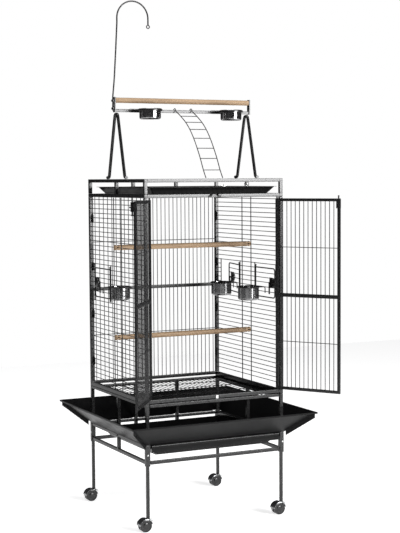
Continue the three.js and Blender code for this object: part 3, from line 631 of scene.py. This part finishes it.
def side_wall(name, side, openings):
    x = side * FEEDER_X
    outer = (side * IX, side * HX)
    wall = Piece()
    wall.box((side * (IX + 0.2), side * (HX - 0.2)), (-IY - 1, IY + 1), (505.5, 522.5), 1.3)
    for end in (-1, 1):
        wall.box(outer, (end * IY, end * HY), (505.3, 1317.7), 1.5)
        for z in (613, 816, 1020, 1226):
            ring = [(end * (IY + 1), z - 20), (end * (IY - 9), z - 17), (end * (IY - 14.5), z - 10),
                    (end * (IY - 14.5), z + 10), (end * (IY - 9), z + 17), (end * (IY + 1), z + 20)]
            lower = [Vector((side * 296.6, y, height)) for y, height in ring]
            wall.hull(lower, [p + Vector((side * 2.6, 0, 0)) for p in lower])
    for y in (-40, 40):
        wall.rod([(side * 300.1, y, 521), (side * 300.1, y, 1317)], 2.1, 10)
    for i in range(40):
        z = FIRST_BAR - i * PITCH
        low = -67 if 15 <= i <= 21 and -1 in openings else -IY - 2
        high = 67 if 15 <= i <= 21 and 1 in openings else IY + 2
        wall.rod([(x, low, z), (x, high, z)], WIRE, 10)
        if 15 <= i <= 21:
            for end in openings:
                wall.rod([(x, end * 247, z), (x, end * (IY + 2), z)], WIRE, 10)
    for end in openings:
        for y in (67, 247):
            low, high = FIRST_BAR - 22 * PITCH - 2, FIRST_BAR - 14 * PITCH + 2
            wall.rod([(x, end * y, low), (x, end * y, high)], 2.2, 10)
        for z in (887, 1025):
            loop = arc(4.4, 0, 330, 12, lambda a, b: (x + a, end * FEEDER_Y + b, z))
            wall.rod(loop, 1.4, 8, (0, 0, 1), True)
            wall.rod([(x, end * 66.5, z), (x, end * (FEEDER_Y - 4.4), z)], 1.7, 8)
    wall.done(f"{name}_bars", "cage", "frame_paint", name)


def back_wall():
    wall = Piece()
    half = IX - 0.3
    wall.box((-half, half), (IY, HY), (511, 524), 1.3)
    wall.box((-half, half), (IY, HY), (913, 927), 1.3)
    for x in steps(-14.5 * PITCH, 30, PITCH):
        wall.rod([(x, PY, 523), (x, PY, 1317.5)], WIRE, 10)
    for x in (-half + 2, half - 2):
        wall.rod([(x, PY, 523), (x, PY, 1317.5)], 2.4, 10)
    for z in (722, 1124):
        wall.rod([(-half, PY - 3.1, z), (half, PY - 3.1, z)], 1.7, 10)
    wall.done("wall_back_bars", "cage", "frame_paint", "wall_back")


def sill_and_keeper():
    half = IX - 0.3
    sill = Piece()
    sill.box((-half, half), (-HY, -IY), (508.5, 522.5), 1.4)
    sill.done("front_sill_tube", "cage", "frame_paint", "front_sill")
    keeper = Piece()
    keeper.box((-2, 8), (-298.4, -HY - 0.2), (508.5, 521.5), 0.6)
    keeper.box((0, 6), (-300.4, -298), (517.5, 521), 0.6)
    keeper.done("sill_catch", "cage", "bright_fittings", "sill_keeper")


def roof():
    ring = Piece()
    span = (ROOF, ROOF_TOP)
    for side in (-1, 1):
        ring.box((side * IX, side * HX), (-HY, HY), span, 1.4)
        ring.box((-IX - 1, IX + 1), (side * IY, side * HY), (span[0] + 0.1, span[1] - 0.1), 1.4)
    for x in steps(-14.5 * PITCH, 30, PITCH):
        ring.rod([(x, -IY - 2, 1329.6), (x, IY + 2, 1329.6)], 1.5, 8)
    for y in (-95, 95):
        ring.rod([(-IX - 2, y, 1326.4), (IX + 2, y, 1326.4)], 1.9, 8)
    for x in (-14, 14):
        y = DOOR_Y - 11.5
        for edge in ((x - 7, x - 4.2), (x + 4.2, x + 7)):
            ring.box(edge, (-308.5, -HY + 1), (1325.5, 1331), 0.5)
        ring.box((x - 7, x + 7), (-308.5, y - 4.2), (1325.5, 1331), 0.5)
        ring.box((x - 7, x + 7), (y + 4.2, -HY + 1), (1325.5, 1331), 0.5)
    ring.done("roof_frame", "cage", "frame_paint", "roof")
    pads = Piece()
    for x in (-24, 17):
        pads.box((x - 7.5, x + 7.5), (-HY - 1.8, -HY - 0.1), (1317.6, 1326), 0.8)
    pads.done("roof_rail_pads", "cage", "sheet_paint")


def play_frame():
    ring = Piece()
    span = (PLAY, PLAY_TOP)
    upright = (ROOF_TOP + 0.3, PLAY + 2)
    for side in (-1, 1):
        ring.box((side * IX, side * HX), (-HY, HY), span, 1.4)
        ring.box((-IX - 1, IX + 1), (side * IY, side * HY), (span[0] + 0.1, span[1] - 0.1), 1.4)
        for y in ((-HY, -IY), (IY, HY), (-7, 7)):
            ring.box((side * IX, side * HX), y, upright, 1.4)
        ring.box((side * 103 - 7, side * 103 + 7), (IY, HY), upright, 1.4)
    ring.done("play_ring", "cage", "frame_paint", "play_frame")


# ---- doors ----

def door(name, hand, open_turn):
    home = Matrix.Translation((-hand * DOOR_X, DOOR_Y, 0)) @ Matrix.Rotation(radians(open_turn), 4, "Z")
    leaf = Piece()
    leaf.place = home
    s = lambda a, b: (hand * a, hand * b)
    deep = (-4.8, 4.8)
    leaf.box(s(-6, 6), deep, (525, 1311), 1.3)
    leaf.box(s(273, 285), deep, (525, 1311), 1.3)
    for span in ((1299, 1311), (525, 537), (908, 923)):
        leaf.box(s(5, 274), (-4.7, 4.7), span, 1.2)
    leaf.rod([(0, 0, 516.5), (0, 0, 527)], 3.4, 16)
    leaf.rod([(0, 0, 1309), (0, 0, 1325)], 3.4, 16)
    for x in steps(26, 13, 19.2):
        leaf.rod([(hand * x, 0, 535), (hand * x, 0, 1301)], WIRE, 10)
    for z in (725, 1112):
        leaf.rod([(hand * 5, -2.9, z), (hand * 274, -2.9, z)], 1.5, 10)
    for z in (1275, 1306):
        leaf.box(s(264, 280), (-16.5, -4), (z - 3.6, z + 1.6), 1)
    leaf.box(s(264, 267.4), (-16.5, -4), (1271.4, 1307.6), 0.9)
    leaf.box(s(276.6, 280), (-16.5, -4), (1271.4, 1307.6), 0.9)
    leaf.done(f"{name}_leaf", name, "frame_paint", name)
    pin = Piece()
    pin.place = home
    x = hand * BOLT
    pin.rod([(x, -11.5, 1256), (x, -11.5, 1322.4), (x, -11.5, 1323.5)], 3.1, 16)
    pin.turned([(0, 0), (4.6, 0), (5, 1), (5, 4), (4.4, 5), (0, 5)], (x, -11.5, 1256), sides=20)
    pin.turned([(0, 0), (2.4, 0), (2.4, 7.5), (3.4, 8.4), (3.6, 10), (2.6, 11.2), (0, 11.6)],
               (x, -11.5, 1288), (0, -1, 0), 20)
    pin.done(f"{name.replace('door', 'bolt')}_pin", name.replace("door", "bolt"), "frame_paint",
             name.replace("door", "bolt"))


# ---- feeders ----

def cup_ring(piece, x, y, z):
    piece.rod(arc(CUP_R + 3.2, 0, 350, 36, lambda a, b: (x + a, y + b, z)), 2.2, 10, (0, 0, 1), True)


def feeder(label, out, run, turn):
    home = Matrix.Translation((out * FEEDER_X, run * FEEDER_Y, 0)) @ Matrix.Rotation(radians(turn), 4, "Z")
    p = lambda u, v, z: (out * u, run * v, z)
    leaf = Piece()
    leaf.place = home
    leaf.rod([p(0, 0, 883), p(0, 0, 1029)], 2.8, 12)
    corners = [p(0, 0, 1017), p(0, FEEDER_W, 1017), p(0, FEEDER_W, 895), p(0, 0, 895)]
    leaf.rod(rounded(corners, 14, 6), 2.8, 12, (1, 0, 0))
    for z in steps(917.8, 5, PITCH):
        leaf.rod([p(0, 0, z), p(0, FEEDER_W, z)], WIRE, 10)
    cup_ring(leaf, -out * CUP_OUT, run * CUP_ALONG, 938)
    for aside in (-30, 30):
        v = CUP_ALONG + aside
        reach = CUP_OUT - sqrt((CUP_R + 3.2) ** 2 - aside * aside)
        arm = [p(-reach - 2, v, 938), p(-2.9, v, 938), p(-2.9, v, 912)]
        leaf.rod(rounded(arm, 7, 5), 2.1, 10, (0, 1, 0))
    leaf.box((out * 1.4, out * 3), (run * (KNOB_ALONG - 14), run * (KNOB_ALONG + 14)), (935, 979), 0.6)
    leaf.done(f"feeder_{label}_wires", f"feeder_{label}", "frame_paint", f"feeder_door_{label}")

    knob = Piece()
    knob.place = home
    centre = p(0, KNOB_ALONG, KNOB_Z)
    axis = (out, 0, 0)
    face = [(0, 4), (19.4, 4), (20.6, 5), (21, 7), (21, 9.5), (20, 11.4), (17.6, 12.4), (14.5, 12.6),
            (13.6, 13.4), (12.8, 14.6), (11, 15), (0, 15)]
    knob.turned(face, centre, axis, 48)
    for k in range(18):
        angle = radians(k * 20)
        y, z = 20.6 * cos(angle), 20.6 * sin(angle)
        knob.rod([p(5, KNOB_ALONG + y, KNOB_Z + z), p(10.6, KNOB_ALONG + y, KNOB_Z + z)], 1.1, 8)
    knob.rod([p(-8, KNOB_ALONG, KNOB_Z), p(5, KNOB_ALONG, KNOB_Z)], 3.8, 16)
    knob.box((out * -8, out * -5.5), (run * (KNOB_ALONG - 5), run * (KNOB_ALONG + 5)), (910, 961), 0.7)
    knob.done(f"feeder_{label}_knob", f"knob_{label}", "black_plastic", f"feeder_knob_{label}")

    bowl = Piece()
    bowl.place = home
    steel_cup(bowl, p(-CUP_OUT, CUP_ALONG, 883.9), CUP_R, 58)
    bowl.done(f"feeder_{label}_bowl", f"cup_{label}", "stainless", f"feeder_cup_{label}")


def steel_cup(piece, foot, radius, height):
    """A deep-drawn cup with a rolled lip."""
    top = height
    profile = [
        (0, 0.8), (radius - 12, 0.8), (radius - 10, 0), (radius - 6, 0), (radius - 3, 1.4), (radius - 1, 4),
        (radius, 8), (radius, top - 3), (radius + 0.6, top - 1.8), (radius + 2.2, top - 1.9),
        (radius + 3, top - 1), (radius + 2.4, top - 0.1), (radius + 0.8, top), (radius - 0.6, top - 1),
        (radius - 1.1, top - 3), (radius - 1.1, 8.6), (radius - 2.2, 5), (radius - 4.4, 2.8),
        (radius - 8, 1.9), (0, 1.9),
    ]
    piece.turned(profile, foot, sides=64)


# ---- perches and play stand ----

def dowel(piece, half, y, z, radius=11, middle=0):
    profile = [(0, 0), (radius - 1.2, 0), (radius - 0.3, 0.5), (radius, 1.6)]
    back = [(r, 2 * half - h) for r, h in reversed(profile)]
    rows = [(radius - 0.15 * (1 + sin(i * 1.7)), i * 2 * half / 24) for i in range(1, 24)]
    piece.turned(profile + rows + back, (middle - half, y, z), (1, 0, 0), 36)


def perches():
    for name, bar in (("perch_upper", 10), ("perch_lower", 29)):
        z = FIRST_BAR - bar * PITCH
        wood = Piece()
        dowel(wood, 300.5, 0, z)
        for side in (-1, 1):
            wood.turned([(0, 0), (11, 0), (11, 7), (10, 8), (0, 8)], (side * 307, 0, z), (side, 0, 0), 28)
            for lift in (-1, 1):
                wood.box((side * 298, side * 309), (-8, 8), (z + lift * 2.4, z + lift * 7), 0.6)
        wood.done(f"{name}_dowel", "cage", "perch_wood", name)
    top = Piece()
    dowel(top, (RIGHT_BRACKET - LEFT_BRACKET) / 2 - 2.9, 0, 1714, middle=(LEFT_BRACKET + RIGHT_BRACKET) / 2)
    top.done("play_perch_dowel", "cage", "perch_wood", "play_perch")


def play_stand():
    for name, side in (("left", -1), ("right", 1)):
        x = side * 300
        half = [(101, PLAY_TOP + 6.6), (82.5, PLAY_TOP + 6.6), (20.5, 1632), (12.5, 1657.5)]
        line = [(x, y, z) for y, z in half] + [(x, -y, z) for y, z in reversed(half)]
        tube = Piece()
        tube.rod(rounded(line, 9, 7), 6.3, 16, (1, 0, 0))
        tube.done(f"trestle_{name}_tube", "cage", "frame_paint", f"trestle_{name}")
        plate = Piece()
        x = LEFT_BRACKET if side < 0 else RIGHT_BRACKET
        plate.box((x - 2.5, x + 2.5), (-10, 10), (1665, 1727), 0.8)
        if side < 0:
            for z in (1680, 1712):
                plate.turned([(3.5, 0), (6.4, 0), (6.4, 8), (3.5, 8)], (x - 6.5, 0, z - 4), sides=24)
                plate.box((x - 2.6, x), (-7.5, 7.5), (z - 4, z + 4), 0.6)
        plate.done(f"bracket_{name}_plate", "cage", "frame_paint", f"bracket_{name}")
    nuts = Piece()
    for side, x in ((-1, LEFT_BRACKET), (1, RIGHT_BRACKET)):
        nuts.screw((x + side * 2.6, 0, 1697), (side, 0, 0), 4)
    nuts.done("bracket_screws", "cage", "black_plastic")
    bar = Piece()
    bar.box((LEFT_BRACKET + 2.8, RIGHT_BRACKET - 2.8), (-6, 6), (CUP_RAIL, CUP_RAIL + 12), 1.3)
    bar.done("cup_rail_bar", "cage", "frame_paint", "cup_rail")
    for name, x in (("left", -176), ("right", 196)):
        ring = Piece()
        band = [(45.2, 0), (47.2, -1), (49.2, -1), (50, 0), (50, 6.4), (49, 7.4), (46, 7.4), (45.2, 6.6)]
        ring.turned(band, (x, -60, 1670), sides=64)
        ring.box((x - 68, x - 4), (-9.6, -6.3), (1665, 1680), 0.8)
        ring.box((x - 14, x + 6), (-14.6, -8), (1671, 1677), 0.8)
        ring.screw((x - 52, -9.8, 1672.5), (0, -1, 0), 4.6)
        ring.screw((x - 30, -9.8, 1672.5), (0, -1, 0), 4.6)
        ring.done(f"cup_ring_{name}_band", "cage", "frame_paint", f"cup_ring_{name}")
        bowl = Piece()
        steel_cup(bowl, (x, -60, 1675.5 + 2.5 + 1.4 - 43), CUP_R, 43)
        bowl.done(f"play_bowl_{name}", f"play_cup_{name}", "stainless", f"play_cup_{name}")


def toy_hook():
    line = [(-315, 1672), (-315, 1724), (-307.5, 1800), (-300, 1915), (-293.5, 2030)]
    path = [(x, 0, z) for x, z in line]
    curl = arc(69, 180, 0, 29, lambda a, b: (-224.5 + a, 0, 2048 + b))
    rod = Piece()
    rod.rod(rounded(path + [tuple(curl[0])], 8, 4)[:-1] + curl + [(-155.5, 0, 2022)], 3.1, 14, (0, 1, 0))
    eye = arc(6.5, 0, 345, 24, lambda a, b: (-155.5 + a, 0, 2016 + b))
    rod.rod(eye, 2.2, 10, (0, -1, 0), True)
    rod.done("toy_hook_rod", "cage", "frame_paint", "toy_hook")


def ladder():
    rungs = [(-58, 1650.5), (-104, 1624), (-143, 1593.5), (-178.5, 1556.5), (-210, 1515.5), (-238, 1474),
             (-265, 1427.5)]
    wires = Piece()
    for x in (-37, 38):
        hook = arc(12, -20, 178, 12, lambda a, b: (x, a, CUP_RAIL + 6 + b))
        rail = smooth_line([tuple(hook[-1])] + [(x, y, z) for y, z in rungs] + [(x, -287.5, 1395.8)], 5)
        wires.rod(hook[:-1] + rail, 1.9, 12, (1, 0, 0))
    for y, z in rungs:
        wires.rod([(-38.5, y, z), (39.5, y, z)], 1.6, 12)
    wires.done("ladder_wires", "ladder", "frame_paint", "ladder")


def wing_nuts():
    for name, x, y, turn in (("front", 44, -284.5, 90), ("right", 281.5, -31, 0)):
        nut = Piece()
        nut.place = Matrix.Translation((x, y, 1361.3)) @ Matrix.Rotation(radians(turn), 4, "Z")
        nut.turned([(0, 0), (6.4, 0), (6.4, 1.2), (5.6, 2), (4.6, 8.4), (4, 9), (0, 9)], (0, 0, 0), sides=24)
        for end in (-1, 1):
            wing = [
                (end * 4, 2), (end * 8, 3), (end * 12.6, 7.6), (end * 12.8, 11), (end * 9, 12), (end * 4, 7),
            ]
            lower = [Vector((-1.5, a, b)) for a, b in wing]
            nut.hull(lower, [p + Vector((3, 0, 0)) for p in lower])
        nut.done(f"wing_nut_{name}_part", "play_tray", "bright_fittings", f"wing_nut_{name}")


# ---- studio ----

def studio():
    scene = bpy.context.scene
    scene.view_settings.view_transform = "Standard"
    floor_mesh = bpy.data.meshes.new("floor")
    signs = ((-1, -1), (1, -1), (1, 1), (-1, 1))
    corners = [(across * FLOOR_HALF, along * FLOOR_HALF, 0) for across, along in signs]
    floor_mesh.from_pydata(corners, [], [(0, 1, 2, 3)])
    floor = bpy.data.objects.new("floor", floor_mesh)
    floor.location.z = CAD_BOX[0][2] - 0.0005
    scene.collection.objects.link(floor)
    pale = bpy.data.materials.new("pale_floor")
    pale.use_nodes = True
    shader = pale.node_tree.nodes["Principled BSDF"]
    shader.inputs["Base Color"].default_value = (0.86, 0.86, 0.86, 1)
    shader.inputs["Roughness"].default_value = 0.8
    shader.inputs["Emission Color"].default_value = (1, 1, 1, 1)
    shader.inputs["Emission Strength"].default_value = FLOOR_GLOW
    floor_mesh.materials.append(pale)
    scene.world = backdrop()
    for name, spot, target, wide, high, power in (
        ("key", (1.95, -4.0, 1.72), (0.0, 0.0, 1.3), 2.0, 1.25, 250),
        ("streak", (1.5, -3.7, 0.75), (0.0, 0.0, 0.75), 0.35, 1.3, 4.5),
        ("side", (-3.4, 2.2, 1.0), (0.0, 0.0, 1.0), 0.9, 1.8, 4),
        ("top", (-0.4, -0.6, 4.6), (0.0, 0.0, 1.2), 2.6, 2.6, 110),
    ):
        light = bpy.data.lights.new(name, "AREA")
        light.shape = "RECTANGLE"
        light.size = wide
        light.size_y = high
        light.energy = power
        lamp = bpy.data.objects.new(name, light)
        lamp.location = spot
        aim = Vector(target) - lamp.location
        lamp.rotation_euler = aim.to_track_quat("-Z", "Y").to_euler()
        scene.collection.objects.link(lamp)


def backdrop():
    """White behind the object, and a dim room for its reflections."""
    world = bpy.data.worlds.new("studio")
    world.use_nodes = True
    tree = world.node_tree
    seen = tree.nodes["Background"]
    seen.inputs["Color"].default_value = (1, 1, 1, 1)
    room = tree.nodes.new("ShaderNodeBackground")
    room.inputs["Color"].default_value = ROOM_TONE
    pick = tree.nodes.new("ShaderNodeMixShader")
    path = tree.nodes.new("ShaderNodeLightPath")
    tree.links.new(path.outputs["Is Camera Ray"], pick.inputs["Fac"])
    tree.links.new(room.outputs["Background"], pick.inputs[1])
    tree.links.new(seen.outputs["Background"], pick.inputs[2])
    tree.links.new(pick.outputs["Shader"], tree.nodes["World Output"].inputs["Surface"])
    return world


def camera():
    turn, dip, roll = radians(26.309), radians(3.768), radians(-0.349)
    ahead = Vector((sin(turn) * cos(dip), cos(turn) * cos(dip), -sin(dip)))
    right = Vector((cos(turn), -sin(turn), 0))
    up = right.cross(ahead)
    across = right * cos(roll) + up * sin(roll)
    above = up * cos(roll) - right * sin(roll)
    lens = bpy.data.cameras.new("camera")
    lens.sensor_width = 36
    lens.lens = CAMERA_LENS
    lens.clip_end = 200
    seen = bpy.data.objects.new("camera", lens)
    place = Matrix((across, above, -ahead)).transposed().to_4x4()
    place.translation = (CAMERA_AT + SHIFT) / 1000
    seen.matrix_world = place
    bpy.context.scene.collection.objects.link(seen)
    bpy.context.scene.camera = seen


# ---- assembly ----

for label, side, end in CORNERS:
    leg(label, side, end)
    caster(label, side, end)
stand_side("stand_left", -1)
stand_side("stand_right", 1)
stand_back_and_front()
guard("guard_front", lambda a, o: (a, -o), HX + 3, HY + 3, 409, 395, [], False, (-1, 1))
guard("guard_back", lambda a, o: (-a, o), HX + 3, HY + 3, 409, 395, [-100, 100], True, ())
guard("guard_left", lambda a, o: (-o, -a), HY + 3, HX + 3, 395, 409, [0], True, (-1,))
guard("guard_right", lambda a, o: (o, a), HY + 3, HX + 3, 395, 409, [0], True, (1,))
pan("bottom_tray", "bottom_tray", (-256, 256, -262, 208), (-280, 280, -286, 240), 297, 326.6,
    (-288, 288, -287, 249), 326.6, front=True)
pan("play_tray", "play_tray", (-258, 258, -261, 235), (-279, 279, -282, 256), 1332.3, 1359.4,
    (-286, 286, -289, 263), 1359.4)
floor_grate()
side_wall("wall_left", -1, (1,))
side_wall("wall_right", 1, (-1, 1))
back_wall()
sill_and_keeper()
roof()
play_frame()
door("door_left", 1, -LEFT_OPEN)
door("door_right", -1, RIGHT_OPEN)
feeder("right_front", 1, -1, 0)
feeder("right_rear", 1, 1, -AJAR)
feeder("left_rear", -1, 1, 0)
perches()
play_stand()
toy_hook()
ladder()
wing_nuts()
studio()
camera()
